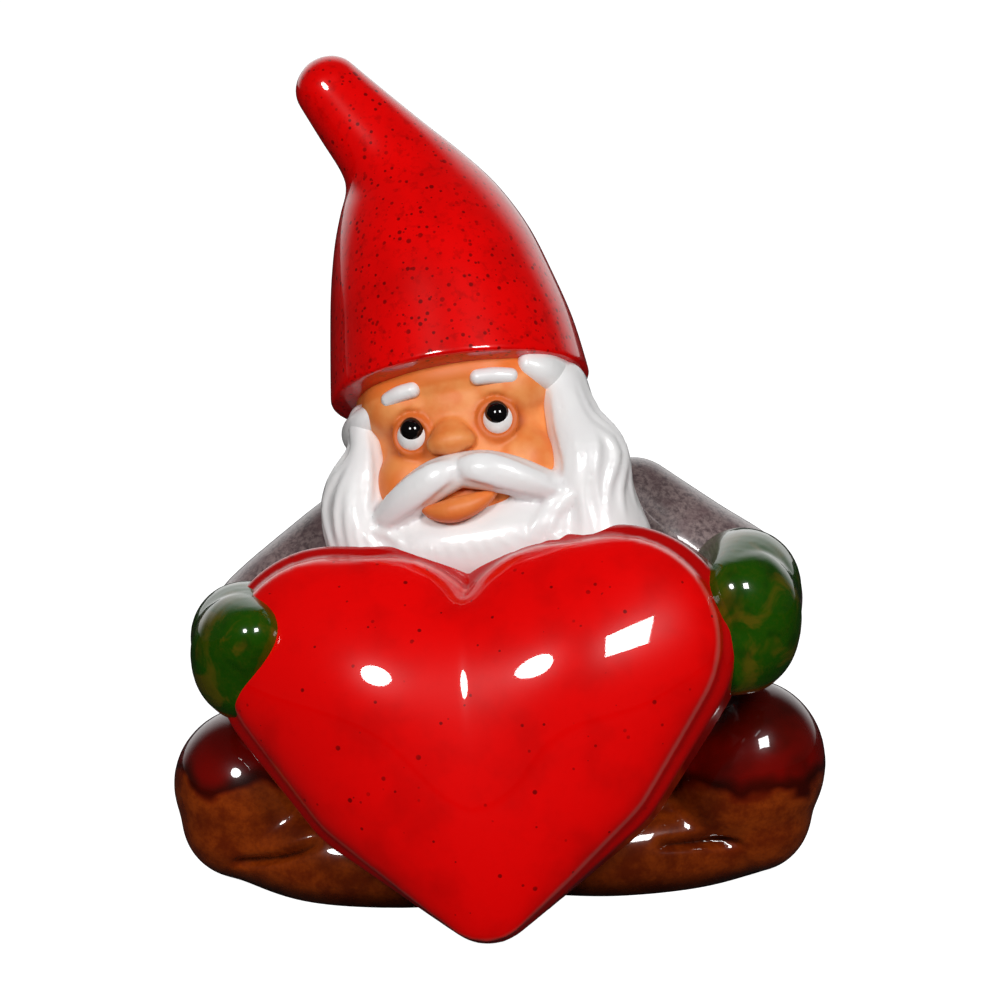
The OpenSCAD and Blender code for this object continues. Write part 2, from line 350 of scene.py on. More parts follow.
class Nodes:
    """Adds nodes to a material or a world and links them, so that a glaze reads as a recipe."""

    def __init__(self, owner, end="BSDF_PRINCIPLED"):
        owner.use_nodes = True
        self.owner = owner
        self.tree = owner.node_tree
        self.end = next(n for n in self.tree.nodes if n.type == end)
        self.coord = self.add("TexCoord")["Object"]

    def feed(self, node, sockets):
        """Feeds each socket from another one, from a value or from the name of a colour in TomteGlaze."""
        for key, value in sockets.items():
            if isinstance(value, bpy.types.NodeSocket):
                self.tree.links.new(value, node.inputs[key])
            elif isinstance(value, str):
                node.inputs[key].default_value = getattr(bpy.context.scene.tomte_glaze, value)
            elif value is not None:
                node.inputs[key].default_value = value

    def add(self, kind, sockets=None, **settings):
        """The outputs of a new node of this kind."""
        node = self.tree.nodes.new("ShaderNode" + kind)
        for key, value in settings.items():
            setattr(node, key, value)
        self.feed(node, sockets or {})
        return node.outputs

    def noise(self, size_mm, detail=3.0, roughness=0.5, distortion=0.0):
        """Smooth noise with blobs of about size_mm."""
        return self.add("TexNoise", {
            "Vector": self.coord, "Scale": 1 / (size_mm * MM),
            "Detail": detail, "Roughness": roughness, "Distortion": distortion,
        })["Fac"]

    def cells(self, size_mm):
        """Distance from the middle of random cells of about size_mm, and a random value for each."""
        cell = self.add("TexVoronoi", {"Vector": self.coord, "Scale": 1 / (size_mm * MM)})
        return cell["Distance"], self.add("SeparateColor", {0: cell["Color"]})[0]

    def ramp(self, value, low, high, out_low=0.0, out_high=1.0, smooth=True):
        return self.add("MapRange", {
            "Value": value, "From Min": low, "From Max": high, "To Min": out_low, "To Max": out_high,
        }, interpolation_type="SMOOTHSTEP" if smooth else "LINEAR")["Result"]

    def maths(self, operation, a, b=None):
        return self.add("Math", {0: a, 1: b}, operation=operation)[0]

    def blend(self, share, a, b):
        return self.add("Mix", {"Factor": share, "A": a, "B": b}, data_type="RGBA")["Result"]

    def edges(self):
        """Above a half on ridges and below it in creases."""
        return self.add("NewGeometry")["Pointiness"]

    def height(self):
        """Height above the table, in metres."""
        return self.add("SeparateXYZ", {0: self.coord})["Z"]

    def away(self, point):
        """Distance from a point, in metres."""
        return self.add("VectorMath", {0: self.coord, 1: point}, operation="DISTANCE")["Value"]

    def along_axis(self, point, axis):
        """How far past a point along an axis, in metres."""
        dot = self.add("VectorMath", {0: self.coord, 1: axis}, operation="DOT_PRODUCT")["Value"]
        return self.maths("SUBTRACT", dot, point.dot(axis))

    def specks(self, size_mm, most, chance):
        """Round specks in random cells: most is the widest as a share of a cell, chance how many cells."""
        distance, dice = self.cells(size_mm)
        reach = self.ramp(dice, 1 - chance, 1, 0, most, smooth=False)
        soft = self.maths("MULTIPLY", reach, 0.6)
        return self.ramp(distance, reach, soft)

    def bump(self, height, depth_mm):
        bumped = self.add("Bump", {"Strength": 1.0, "Distance": depth_mm * MM, "Height": height})
        self.feed(self.end, {"Normal": bumped["Normal"]})

    def finish(self, colour, roughness, coat=0.0, sheen=0.5):
        self.feed(self.end, {
            "Base Color": colour, "Roughness": roughness, "Coat Weight": coat, "Coat Roughness": 0.03,
            "IOR": 1.5, "Specular IOR Level": sheen,
        })
        return self.owner


def glaze_nodes(name):
    return Nodes(bpy.data.materials.new(name))


def red_glaze(name, speck_share, ridge=None):
    """Bright red with black iron specks, a painted highlight along a ridge in a plane and painted shade
    behind that plane.
    """
    glaze = glaze_nodes(name)
    red = glaze.blend(glaze.ramp(glaze.noise(9), 0.4, 0.75, 0, 0.35), "red", "red_deep")
    # Pooled glaze and painted shade: darker red in the creases
    crease_shade = glaze.ramp(glaze.edges(), 0.42, 0.49, 0.6, 0.0)
    red = glaze.blend(crease_shade, red, "red_deep")
    mottle = glaze.ramp(glaze.noise(1.6, detail=3, roughness=0.6), 0.5, 0.72, 0, 0.5)
    red = glaze.blend(glaze.maths("MULTIPLY", mottle, speck_share), red, "red_deep")
    fine = glaze.specks(1.2, 0.4, speck_share)
    coarse = glaze.specks(1.9, 0.3, speck_share * 0.6)
    patchy = glaze.ramp(glaze.noise(6), 0.3, 0.6, 0.35, 1)
    dots = glaze.maths("MULTIPLY", glaze.maths("MAXIMUM", fine, coarse), patchy)
    red = glaze.blend(glaze.maths("MULTIPLY", dots, 0.75), red, "speck")
    if ridge:
        # Painted shade: darker red on the side wall behind the ridge, under the beard
        back = glaze.along_axis(*ridge)
        red = glaze.blend(glaze.ramp(back, 0.3 * MM, 1.3 * MM, 0, 0.75), red, "red_wall_shade")
        # Painted highlight: a pink line along the front of the ridge
        near = glaze.ramp(back, -1.3 * MM, -0.2 * MM, 0, 0.36)
        lip = glaze.maths("MULTIPLY", near, glaze.ramp(back, 0.1 * MM, 0.8 * MM, 1, 0))
        red = glaze.blend(lip, red, "red_ridge_highlight")
    glaze.bump(glaze.noise(9, detail=1), 0.04)
    return glaze.finish(red, 0.3, coat=1.0, sheen=DULL)


def white_glaze(name):
    """Thick white with painted shade of a cool lilac cast in its creases."""
    glaze = glaze_nodes(name)
    white = glaze.blend(glaze.ramp(glaze.noise(6), 0.3, 0.7, 0, 0.35), "white", "white_thin")
    # Painted shade: lilac grey in the creases of the hair
    crease_shade = glaze.ramp(glaze.edges(), 0.42, 0.498, 0.8, 0.0)
    white = glaze.blend(crease_shade, white, "white_shade_in_creases")
    glaze.bump(glaze.noise(2.2, detail=2), 0.05)
    return glaze.finish(white, 0.35, coat=0.35)


def green_glaze(name):
    """Dark green that breaks to olive and brown in soft patches."""
    glaze = glaze_nodes(name)
    patches = glaze.noise(6.5, detail=3, roughness=0.55, distortion=0.8)
    green = glaze.blend(glaze.ramp(patches, 0.48, 0.64, 0, 0.95), "green", "green_olive")
    fine = glaze.ramp(glaze.noise(1.2, detail=4, roughness=0.7), 0.42, 0.7, 0, 0.15)
    green = glaze.blend(fine, green, "green_olive")
    dark = glaze.ramp(glaze.noise(4.5, detail=2), 0.5, 0.75, 0, 0.45)
    green = glaze.blend(dark, green, "green_deep")
    # Pooled glaze and painted shade: deep green in the creases
    pooled_and_shaded = glaze.ramp(glaze.edges(), 0.40, 0.49, 0.8, 0.0)
    green = glaze.blend(pooled_and_shaded, green, "green_deep")
    glaze.bump(glaze.noise(5, detail=2), 0.05)
    return glaze.finish(green, 0.25, coat=1.0, sheen=DULL)


def leg_glaze(name):
    """Mottled brown, dipped in dark maroon down to a wavy line about level with the knees."""
    glaze = glaze_nodes(name)
    soft = glaze.ramp(glaze.noise(5, detail=4, roughness=0.65), 0.35, 0.68, 0, 1)
    brown = glaze.blend(soft, "brown", "brown_mid")
    fine = glaze.ramp(glaze.noise(0.9, detail=4, roughness=0.7), 0.42, 0.7, 0, 0.5)
    brown = glaze.blend(fine, brown, "brown_mid")
    # Pooled glaze and painted shade: dark brown in the creases
    pooled_and_shaded = glaze.ramp(glaze.edges(), 0.41, 0.495, 0.9, 0.0)
    brown = glaze.blend(pooled_and_shaded, brown, "brown_dark")
    low = glaze.ramp(glaze.height(), 1.5 * MM, 5 * MM, 0.7, 0)
    brown = glaze.blend(low, brown, "brown_dark")
    wave = glaze.ramp(glaze.noise(11, detail=2), 0.2, 0.8, -4.5 * MM, 4.5 * MM, smooth=False)
    level = glaze.maths("ADD", glaze.height(), wave)
    dipped = glaze.ramp(level, 17.5 * MM, 20 * MM)
    cloud = glaze.ramp(glaze.noise(7, detail=2), 0.4, 0.8, 0, 0.7)
    maroon = glaze.blend(cloud, "maroon", "brown_dark")
    upper = glaze.ramp(glaze.height(), 22 * MM, 34 * MM, 0, 0.7)
    maroon = glaze.blend(upper, maroon, "brown_dark")
    glaze.bump(glaze.noise(5, detail=2), 0.05)
    overlap = glaze.maths("MULTIPLY", dipped, glaze.ramp(level, 20 * MM, 23 * MM, 0.8, 0))
    maroon = glaze.blend(overlap, maroon, "brown_dark")
    return glaze.finish(glaze.blend(dipped, brown, maroon), 0.25, coat=1.0, sheen=DULL)


def coat_glaze(name):
    """Purplish grey, broken by fine dark and light curdling."""
    glaze = glaze_nodes(name)
    curdle = glaze.noise(0.9, detail=5, roughness=0.75)
    grey = glaze.blend(glaze.ramp(curdle, 0.36, 0.62), "grey_dark", "grey")
    blotch = glaze.ramp(glaze.noise(3.5, detail=4), 0.45, 0.7, 0, 0.6)
    grey = glaze.blend(blotch, grey, "grey_plum")
    glaze.bump(glaze.noise(4, detail=2), 0.05)
    return glaze.finish(grey, 0.3, coat=0.6)


def skin_slip(name):
    """Matte orange slip, with painted shade in its hollows and round the eyes and a painted shadow in a
    band under the brim.
    """
    slip = glaze_nodes(name)
    skin = slip.blend(slip.ramp(slip.noise(4), 0.35, 0.7, 0, 0.7), "skin", "skin_warm")
    low = slip.ramp(slip.height(), CHIN * MM, CHEEKS * MM, 0.75, 0)
    skin = slip.blend(low, skin, "skin_warm")
    # Painted shade: deeper orange in the face's hollows and round the eye sockets
    hollow_shade = slip.ramp(slip.edges(), 0.42, 0.498, 0.95, 0.0)
    for side_name in SIDES:
        socket = slip.ramp(slip.away(middle(f"{side_name}_eyeball")), 3.3 * MM, 5.6 * MM, 0.9, 0)
        hollow_shade = slip.maths("MAXIMUM", hollow_shade, socket)
    skin = slip.blend(hollow_shade, skin, "skin_shade")
    # Painted shadow of the brim: a darker band just below the hat
    edge = (Vector(hat_origin()) + Vector(BRIM[:3])) * MM
    below = slip.along_axis(edge, axis_of(BRIM))
    skin = slip.blend(slip.ramp(below, -4.2 * MM, -3.4 * MM, 0, 0.75), skin, "skin_brim_shadow")
    slip.bump(slip.noise(0.5, detail=3), 0.015)
    return slip.finish(skin, 0.5)


def plain_glaze(name, colour, roughness=0.08):
    glaze = glaze_nodes(name)
    shade = glaze.blend(glaze.ramp(glaze.noise(2), 0.3, 0.8, 0, 0.1), colour, (0, 0, 0, 1))
    return glaze.finish(shade, roughness, coat=0.8, sheen=DULL)


def bare_clay(name):
    clay = glaze_nodes(name)
    grog = clay.specks(0.8, 0.35, 0.5)
    tone = clay.blend(clay.noise(6), "clay", "clay_dark")
    tone = clay.blend(clay.maths("MULTIPLY", grog, 0.5), tone, "clay_dark")
    clay.bump(clay.noise(0.4, detail=4), 0.05)
    return clay.finish(tone, 0.85)


def present(piece, material, *nodes):
    """Gives the finished piece its glaze, hangs it on the root body and hides the CAD nodes that it takes
    the place of.
    """
    piece.data.materials.clear()
    piece.data.materials.append(material)
    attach(piece, "root")
    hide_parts(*nodes)


# ---- settings ----


def size(name, description, default):
    """A length in millimetres."""
    return bpy.props.FloatProperty(name=name, description=description, default=default, min=0.0)


def metric(name, description, default, unit="LENGTH"):
    """A value that is shown in its unit, such as a length given in metres."""
    return bpy.props.FloatProperty(name=name, description=description, default=default, unit=unit)


def angle(name, description, degrees):
    return metric(name, description, math.radians(degrees), "ROTATION")


def colour(name, description, r, g, b):
    value = screen_colour(r, g, b)
    return bpy.props.FloatVectorProperty(
        name=name, description=description, default=value, subtype="COLOR", size=4, min=0, max=1
    )


class TomteForm(bpy.types.PropertyGroup):
    face_pitch: angle("Face pitch", "How far the face looks up", 18)
    heart_width: size("Heart width", "Width of the heart across its ridge, in mm", 82.5)
    heart_height: size("Heart height", "Height of the heart from its point to its lobes, in mm", 65)
    heart_bulge: size("Heart bulge", "How far the front swells past the ridge, in mm", 9.5)
    heart_lobes: size("Heart lobes", "How much further its two lobes swell, in mm", 2.8)
    heart_depth: size("Heart depth", "Depth of the heart's side wall, in mm", 12)
    heart_flare: size("Heart flare", "How far the side wall spreads towards the back, in mm", 3.1)
    heart_lean: angle("Heart lean", "How far the heart leans back", 20)
    heart_roll: angle("Heart roll", "How far the heart is turned in its own plane", 6.5)
    heart_yaw: angle("Heart yaw", "How far the heart faces the gnome's right", 7)


class TomteGlaze(bpy.types.PropertyGroup):
    red: colour("Red", "Hat and heart", 232, 0, 0)
    # Painted shade on the heart's side wall behind its ridge
    red_wall_shade: colour("Red wall", "Red glaze behind the heart's ridge", 158, 2, 2)
    # Painted highlight along the heart's ridge
    red_ridge_highlight: colour("Thin red", "Red glaze where it thins out on a ridge", 246, 130, 120)
    # Pooled glaze and random patches, and painted shade in the red's creases
    red_deep: colour("Deep red", "Red glaze where it pools", 168, 0, 0)
    speck: colour("Speck", "Iron specks in the red glaze", 60, 0, 0)
    white: colour("White", "Hair and beard", 237, 236, 235)
    white_thin: colour("Thin white", "White glaze where it is thin", 230, 227, 229)
    # Painted shade in the creases of the hair and beard
    white_shade_in_creases: colour("White crease", "White glaze in its creases", 196, 186, 190)
    skin: colour("Skin", "Face slip", 237, 150, 82)
    skin_warm: colour("Warm skin", "Face slip on the cheeks", 228, 114, 40)
    # Painted shade in the face's hollows and eye sockets
    skin_shade: colour("Deep skin", "Face slip in its hollows", 204, 90, 14)
    # Painted shadow of the brim on the forehead
    skin_brim_shadow: colour("Skin under the brim", "Face slip just below the hat", 222, 112, 38)
    grey: colour("Grey", "Coat", 140, 122, 120)
    grey_dark: colour("Dark grey", "Coat curdling", 86, 70, 72)
    grey_plum: colour("Plum grey", "Coat blotches", 108, 84, 86)
    green: colour("Green", "Mittens", 26, 70, 0)
    green_olive: colour("Olive", "Mittens where the glaze breaks", 84, 78, 8)
    # Thick glaze in patches, and pooled glaze and painted shade in creases
    green_deep: colour("Deep green", "Mittens where the glaze is thick", 8, 34, 2)
    brown: colour("Brown", "Legs", 146, 58, 10)
    brown_mid: colour("Middle brown", "Mottling on the legs", 104, 32, 4)
    # Pooled glaze and painted shade in the leg creases, and the dark of the maroon dip
    brown_dark: colour("Dark brown", "Legs in their creases", 34, 6, 0)
    maroon: colour("Maroon", "Upper legs", 112, 4, 0)
    black: colour("Black", "Pupils", 10, 8, 8)
    clay: colour("Clay", "Unglazed foot", 200, 162, 124)
    clay_dark: colour("Dark clay", "Grog in the unglazed foot", 150, 112, 80)


class TomteStudio(bpy.types.PropertyGroup):
    camera_distance: metric("Camera distance", "From the middle of the figure", 0.75)
    camera_pitch: angle("Camera pitch", "How far the camera looks down", 15)
    camera_lens: size("Lens", "Focal length, in mm", 158)
    aim_height: metric("Aim height", "Height that the camera looks at", 0.065)
    key_power: metric("Softbox power", "The right softbox, and the left is a fifth weaker", 5.4, "POWER")


# ---- the pieces ----


class TOMTE_OT_heart(bpy.types.Operator):
    """Domed heart with a soft ridge and a flared side wall"""

    bl_idname = "tomte.heart"
    bl_label = "Heart"

    def execute(self, context):
        form = context.scene.tomte_form
        lobe_x = 24
        lobe = form.heart_width / 2 - lobe_x
        point = form.heart_height * 0.13
        lobe_z = form.heart_height - lobe
        # Circles of half the outline as x, z, radius and a share of the flare and depth
        outline = [
            (lobe_x, lobe_z, lobe, 1.0),
            (form.heart_width * 0.17, lobe_z - 0.5, lobe - 0.2, 1.0),
            (lobe_x - 9.5, form.heart_height * 0.48, lobe - 1.4, 0.8),
            (0, point, point, 0.1),
        ]
        # How deep each layer of the side wall lies, and how far it spreads
        layers = [(a * form.heart_depth, b * form.heart_flare) for a, b in ((0, 0), (0.28, 0.85), (1, 1))]
        halves = []
        for side in SIDES.values():
            discs = [
                (side * x, depth * (0.25 + 0.75 * share), z, r + grow * share, 90, 0)
                for depth, grow in layers
                for x, z, r, share in outline
            ]
            half = rings_of("heart_half", discs, 96)
            bpy.ops.mesh.select_all(action="SELECT")
            bpy.ops.mesh.convex_hull()
            mode("OBJECT")
            halves.append(half)
        heart = clay("heart_form", halves, 0.55, 1)
        swell(heart, [circle[:3] for circle in outline], form)
        apply_modifier(heart, "SMOOTH", factor=0.5, iterations=6)
        low, high = (Vector(c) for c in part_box("heart"))
        foot = Vector(((low.x + high.x) / 2 + 2.4 * MM, low.y + 7.5 * MM, 2 * MM))
        turn = Euler((-form.heart_lean, -form.heart_roll, -form.heart_yaw)).to_matrix().to_4x4()
        settle(heart, Matrix.Translation(foot) @ turn)
        flatten(heart)
        ridge = (foot, turn.to_3x3() @ Vector((0, 1, 0)))
        present(heart, red_glaze("red_glaze_heart", 0.1, ridge), "heart")
        return {"FINISHED"}


def pillow(circles, step=1.0, rounds=3500):
    """Height from 0 to 1 of a skin blown up inside the heart's outline, and the grid it is on.

    The skin settles as a soap film under even pressure does, so it has a valley under the cleft.
    """
    reach = max(x + r for x, z, r in circles) + 2 * step
    top = max(z + r for x, z, r in circles) + 2 * step
    across = np.arange(-reach, reach, step)
    up = np.arange(-2 * step, top, step)
    x, z = np.meshgrid(across, up, indexing="ij")
    depth_in = np.full(x.shape, -np.inf)
    for side in SIDES.values():
        rim = [
            (side * cx + r * math.cos(a), cz + r * math.sin(a))
            for cx, cz, r in circles
            for a in (math.tau * k / 60 for k in range(60))
        ]
        hull = np.array([rim[k] for k in convex_hull_2d(rim)])
        edges = np.roll(hull, -1, axis=0) - hull
        edges /= np.linalg.norm(edges, axis=1, keepdims=True)
        inward = np.sign(edges[0, 0] * edges[1, 1] - edges[0, 1] * edges[1, 0])
        gaps = [inward * (ex * (z - az) - ez * (x - ax)) for (ax, az), (ex, ez) in zip(hull, edges)]
        depth_in = np.maximum(depth_in, np.min(gaps, axis=0))
    inside = np.clip(depth_in / step + 0.5, 0, 1)
    height = np.zeros(x.shape)
    for _ in range(rounds):
        around = height[2:, 1:-1] + height[:-2, 1:-1] + height[1:-1, 2:] + height[1:-1, :-2]
        height[1:-1, 1:-1] = inside[1:-1, 1:-1] * (around / 4 + 1)
    return across, up, height / height.max()


def swell(piece, circles, form):
    """Blows the heart's front forward, most of all at its lobes, and sinks a groove behind its ridge."""
    across, up, height = pillow(circles)
    co, normal = skin_of(piece)
    groove_depth, groove_at, groove_width = 0.5, 1.3, 0.8
    co -= normal * groove_depth * np.exp(-(((co[:, 1] - groove_at) / groove_width) ** 2))[:, None]
    i = (co[:, 0] - across[0]) / (across[1] - across[0])
    k = (co[:, 2] - up[0]) / (up[1] - up[0])
    i0 = np.clip(i.astype(int), 0, len(across) - 2)
    k0 = np.clip(k.astype(int), 0, len(up) - 2)
    u, v = np.clip(i - i0, 0, 1), np.clip(k - k0, 0, 1)
    level = (
        height[i0, k0] * (1 - u) * (1 - v) + height[i0 + 1, k0] * u * (1 - v)
        + height[i0, k0 + 1] * (1 - u) * v + height[i0 + 1, k0 + 1] * u * v
    )
    share = np.clip(1 - co[:, 1] / form.heart_depth, 0, 1)
    lobe_x, lobe_z, spread_out = form.heart_width * 0.23, form.heart_height * 0.7, 11.5
    off_lobe = (np.abs(co[:, 0]) - lobe_x) ** 2 + (co[:, 2] - lobe_z) ** 2
    lobes = form.heart_lobes * np.exp(-off_lobe / (2 * spread_out**2))
    co[:, 1] -= (form.heart_bulge * level**0.6 + lobes * level**0.3) * share
    reshape(piece, co)


class TOMTE_OT_hat(bpy.types.Operator):
    """Tall hat with a rolled brim and a drooping tip"""

    bl_idname = "tomte.hat"
    bl_label = "Hat"

    def execute(self, context):
        x, y, z = hat_origin()
        rings = [
            BRIM,
            (-0.5, 2.4, 17.1, 20.9, -26, -7),
            (-2.3, 5.4, 25.4, 19.0, -22, -6),
            (-3.9, 8.2, 32.6, 16.8, -18, -6),
            (-6.0, 10.4, 38.6, 13.8, -14, -10),
            (-8.6, 12.2, 43.1, 10.6, -12, -18),
            (-12.0, 13.8, 46.8, 8.5, -10, -28),
            (-17.4, 16.0, 52.2, 7.0, -8, -36),
            (-21.8, 18.0, 56.8, 5.9, -7, -40),
        ]
        body = spread(rings, 30)
        tip = body[-1]
        lean = axis_of(tip)
        for k in range(1, 7):
            a = math.radians(14.5 * k)
            spot = Vector(tip[:3]) + lean * tip[3] * 0.9 * math.sin(a)
            body.append((*spot, tip[3] * math.cos(a), *tip[4:]))
        brim = body[0]
        up = axis_of(brim)
        roll = []
        rolled = [(-4.5, 3.0), (-3.6, 1.0), (-2.6, -0.4), (-1.6, -1.1), (-0.6, -1.1), (0.0, -0.5)]
        for grow, rise in rolled:
            spot = Vector(brim[:3]) + up * rise
            roll.append((*spot, brim[3] + grow, *brim[4:]))
        rings = [(a + x, b + y, c + z, *rest) for a, b, c, *rest in roll + body]
        hat = loft("hat_form", rings, segments=72)
        apply_modifier(hat, "SUBSURF", levels=1, render_levels=1)
        present(hat, red_glaze("red_glaze_hat", 1.0), "hat")
        return {"FINISHED"}


class TOMTE_OT_head(bpy.types.Operator):
    """Face with sockets, lids, cheeks, nose and lip"""

    bl_idname = "tomte.head"
    bl_label = "Head"

    def execute(self, context):
        place = face_frame()
        lumps = limb([
            (0, 17.5, 3, 19.6, 19.4, 16),
            (0, 16.6, -3, 19.4, 19.2, 17),
            (0, 14, -11, 15.5, 16.5, 12),
        ], count=7, segments=64)
        for side in SIDES.values():
            lumps.append(ball((side * 9.4, 3.2, -7.6, 6.2, 5.4, 6.6)))
            lumps.append(ball((side * 8.0, 5.6, 5.6, 8.6, 7.8, 7.0)))
        lumps.append(ball((0, 3.6, 4.5, 9, 6, 7)))
        lumps.append(ball((0.2, 16, 9, 19.6, 19.4, 8.5), segments=64))
        head = clay("face_form", lumps, 0.45, 16)
        for side in SIDES.values():
            carve(head, gather("socket", [ball((side * 7.2, -3.4, 0.5, 4.2, 4.0, 4.3))]))
        lumps = limb([
            (-0.6, 0.3, 0.8, 2.6, 1.8, 2.2),
            (-0.7, -2.2, -1.0, 3.3, 2.3, 2.2),
            (-0.7, -3.5, -2.4, 3.8, 2.8, 2.3),
        ], count=9)
        for side in SIDES.values():
            lumps.append(ball((side * 2.5 - 0.7, -3.1, -2.5, 1.7, 2.2, 1.7)))
            bpy.ops.mesh.primitive_torus_add(
                major_segments=48, minor_segments=12,
                major_radius=3.0 * MM, minor_radius=0.75 * MM,
                location=(side * EYE_X * MM, -1.25 * MM, -0.1 * MM),
                rotation=(math.radians(90), 0, math.radians(side * 8)),
            )
            lumps.append(context.object)
        head = clay("face_form", [head, *lumps], 0.33, 5)
        settle(head, place)
        present(head, skin_slip("skin_slip"), "head", "nose")

        lip = clay("lip_form", limb([
            (-7.3, -2.4, -12.8, 0.5, 1.4, 0.6),
            (-5.0, -3.8, -13.6, 1.7, 2.0, 1.5),
            (-1.6, -4.6, -13.9, 2.6, 2.6, 2.1),
            (2.2, -4.0, -13.2, 1.8, 2.0, 1.6),
            (4.9, -2.6, -12.2, 0.5, 1.4, 0.6),
        ], count=22, segments=24), 0.25, 5)
        settle(lip, place)
        present(lip, bpy.data.materials["skin_slip"], "lower_lip")
        return {"FINISHED"}


class TOMTE_OT_eyes(bpy.types.Operator):
    """White eyeballs with black pupils that look up"""

    bl_idname = "tomte.eyes"
    bl_label = "Eyes"

    def execute(self, context):
        place = face_frame()
        white = plain_glaze("eye_white", "white")
        black = plain_glaze("pupil_black", "black", roughness=0.04)
        for side_name, side in SIDES.items():
            eye = gather(f"{side_name}_eye", [ball((side * EYE_X, 0, 0, *[EYE_RADIUS] * 3), segments=48)])
            bpy.ops.object.shade_smooth()
            settle(eye, place)
            present(eye, white, f"{side_name}_eyeball")
            dome = ball((side * EYE_X + 0.15, -1.55, 0.8, 2.05, 1.8, 2.3), segments=48)
            pupil = gather(f"{side_name}_pupil_dome", [dome])
            bpy.ops.object.shade_smooth()
            settle(pupil, place)
            present(pupil, black, f"{side_name}_pupil")
        return {"FINISHED"}


class TOMTE_OT_brows(bpy.types.Operator):
    """Short rounded white bars over the eyes"""

    bl_idname = "tomte.brows"
    bl_label = "Eyebrows"

    def execute(self, context):
        place = face_frame()
        for side_name, side in SIDES.items():
            reach = 2.6 if side > 0 else 2.2
            brow = clay(f"{side_name}_brow", limb(mirrored([
                (8.1 - reach, -2.1, 7.4, 1.4, 1.5, 1.4),
                (8.1, -1.8, 7.2, 1.5, 1.5, 1.45),
                (8.1 + reach, -0.8, 6.7, 1.4, 1.5, 1.4),
            ], side), count=14, segments=24), 0.22, 4)
            settle(brow, place)
            present(brow, hair_glaze(), f"{side_name}_eyebrow")
        return {"FINISHED"}


def hair_glaze():
    """The one white glaze that all the hair shares."""
    return bpy.data.materials.get("white_glaze") or white_glaze("white_glaze")


class TOMTE_OT_beard(bpy.types.Operator):
    """Moustache and beard, with wavy side whiskers that spread behind the heart"""

    bl_idname = "tomte.beard"
    bl_label = "Beard"

    def execute(self, context):
        place = face_frame()
        lumps = limb([
            (18.0, 7.5, 4, 4.2, 5.5, 4.5),
            (18.8, 6.2, -3, 4.8, 6.0, 5),
            (20.4, 5.4, -9, 6.6, 7.0, 6),
            (19.6, 6.0, -15.5, 7.4, 8, 7),
            (18.8, 7.5, -23, 9.6, 10, 7),
        ], count=20)
        lumps += limb([
            (-16.6, 7.5, 3.5, 3.2, 5.5, 4.5),
            (-16.6, 6.5, -1.5, 3.4, 6, 4),
            (-19.0, 5.8, -7, 5.8, 6.6, 5),
            (-19.6, 6, -13.5, 6.8, 8, 6.4),
            (-17.6, 7.5, -20, 9, 10, 7),
        ], count=20)
        lumps += limb([
            (-17, 8.5, -16, 8, 9, 7),
            (-9, 5.5, -18.5, 9, 9, 7.5),
            (0, 5, -19.5, 9, 9, 8),
            (9, 5.5, -19.5, 9, 9, 8),
            (18, 8.5, -18.5, 8, 9, 8),
        ], count=20)
        lumps += limb([
            (-14, 11, -22, 9, 9, 8),
            (-2, 9.5, -26, 11, 9, 8),
            (14, 11, -25, 9, 9, 8),
        ], count=12)
        beard = clay("beard_form", lumps, 0.5, 12)
        opening = clay("mouth_opening", limb([
            (0, -7, 7, 14.2, 10.5, 6),
            (0, -7, -3, 14.8, 10.5, 6),
            (0, -7, -7.4, 13.8, 10, 4.6),
        ], count=6, segments=48), 0.5, 4)
        carve(beard, opening)
        lines_right = [
            [(14.5, -2, 6), (18, 0, 6), (24, 6, 5)],
            [(15.0, -3, -4), (20.5, -2, -3.5), (25, 5, -3)],
            [(15.0, -4, -11), (22, -3, -9), (28.5, 5, -8)],
            [(12, -8, -18), (20, -5, -16), (28, 4, -15)],
            [(10, -9, -28), (19, -6, -27), (30, 3, -25)],
        ]
        lines_left = [
            [(-14.5, -2, 5), (-17, 0, 5), (-21, 6, 5)],
            [(-15.3, -2, -3), (-17.5, -2, -2), (-19, 5, -1)],
            [(-15.3, -4, -10), (-20, -3, -8), (-25.5, 5, -7)],
            [(-13, -8, -16), (-20, -5, -15), (-26, 4, -13)],
            [(-12, -9, -25), (-19, -6, -24), (-29, 3, -22)],
        ]
        lines_front = [
            [(-12, -7, -16.5), (-2, -9, -18.5), (12, -7, -17)],
            [(-14, -8, -20), (-2, -10, -22), (15, -8, -21)],
            [(-16, -8, -27), (-2, -10, -33), (20, -8, -30)],
        ]
        strands = combed(beard, lines_right, 9, -0.5, wave=1.0, turns=1.3, seed=5)
        strands += combed(beard, lines_left, 8, -0.45, wave=0.9, turns=1.3, seed=7)
        strands += combed(beard, lines_front, 13, -1.1, wave=0.5, turns=0.8, seed=9)
        lumps = [beard, add_strands("strands", strands, 1.3)]
        for side in SIDES.values():
            half = clay("moustache_half", limb(mirrored([
                (0.0, -3.6, -7.4, 2.6, 3.0, 3.0),
                (4.0, -3.7, -8.2, 3.2, 3.2, 3.5),
                (8.2, -2.4, -9.8, 3.5, 3.4, 3.4),
                (12.0, -0.4, -11.9, 3.4, 3.6, 3.0),
                (15.4, 1.8, -13.8, 3.0, 3.4, 2.6),
            ], side), count=22, segments=24), 0.4, 4)
            lines = [mirrored(line, side) for line in (
                [(0.6, -8, -4.6), (0.5, -8, -7.0), (0.8, -8, -9.8)],
                [(5.0, -8, -5.0), (4.8, -9, -8.2), (4.6, -8, -11.4)],
                [(10.4, -6, -7.9), (10.0, -6, -10.8), (9.4, -6, -13.4)],
                [(16.4, -1, -12.2), (16.0, -1, -13.8), (15.2, -1, -15.2)],
            )]
            paths = combed(half, lines, 6, 0.1, wave=0.3, seed=3 + side)
            lumps += [half, add_strands("strands", paths, 0.9)]
        beard = clay("beard_form", lumps, 0.42, 7)
        settle(beard, place)
        present(beard, hair_glaze(), "beard", "left_moustache", "right_moustache")
        return {"FINISHED"}


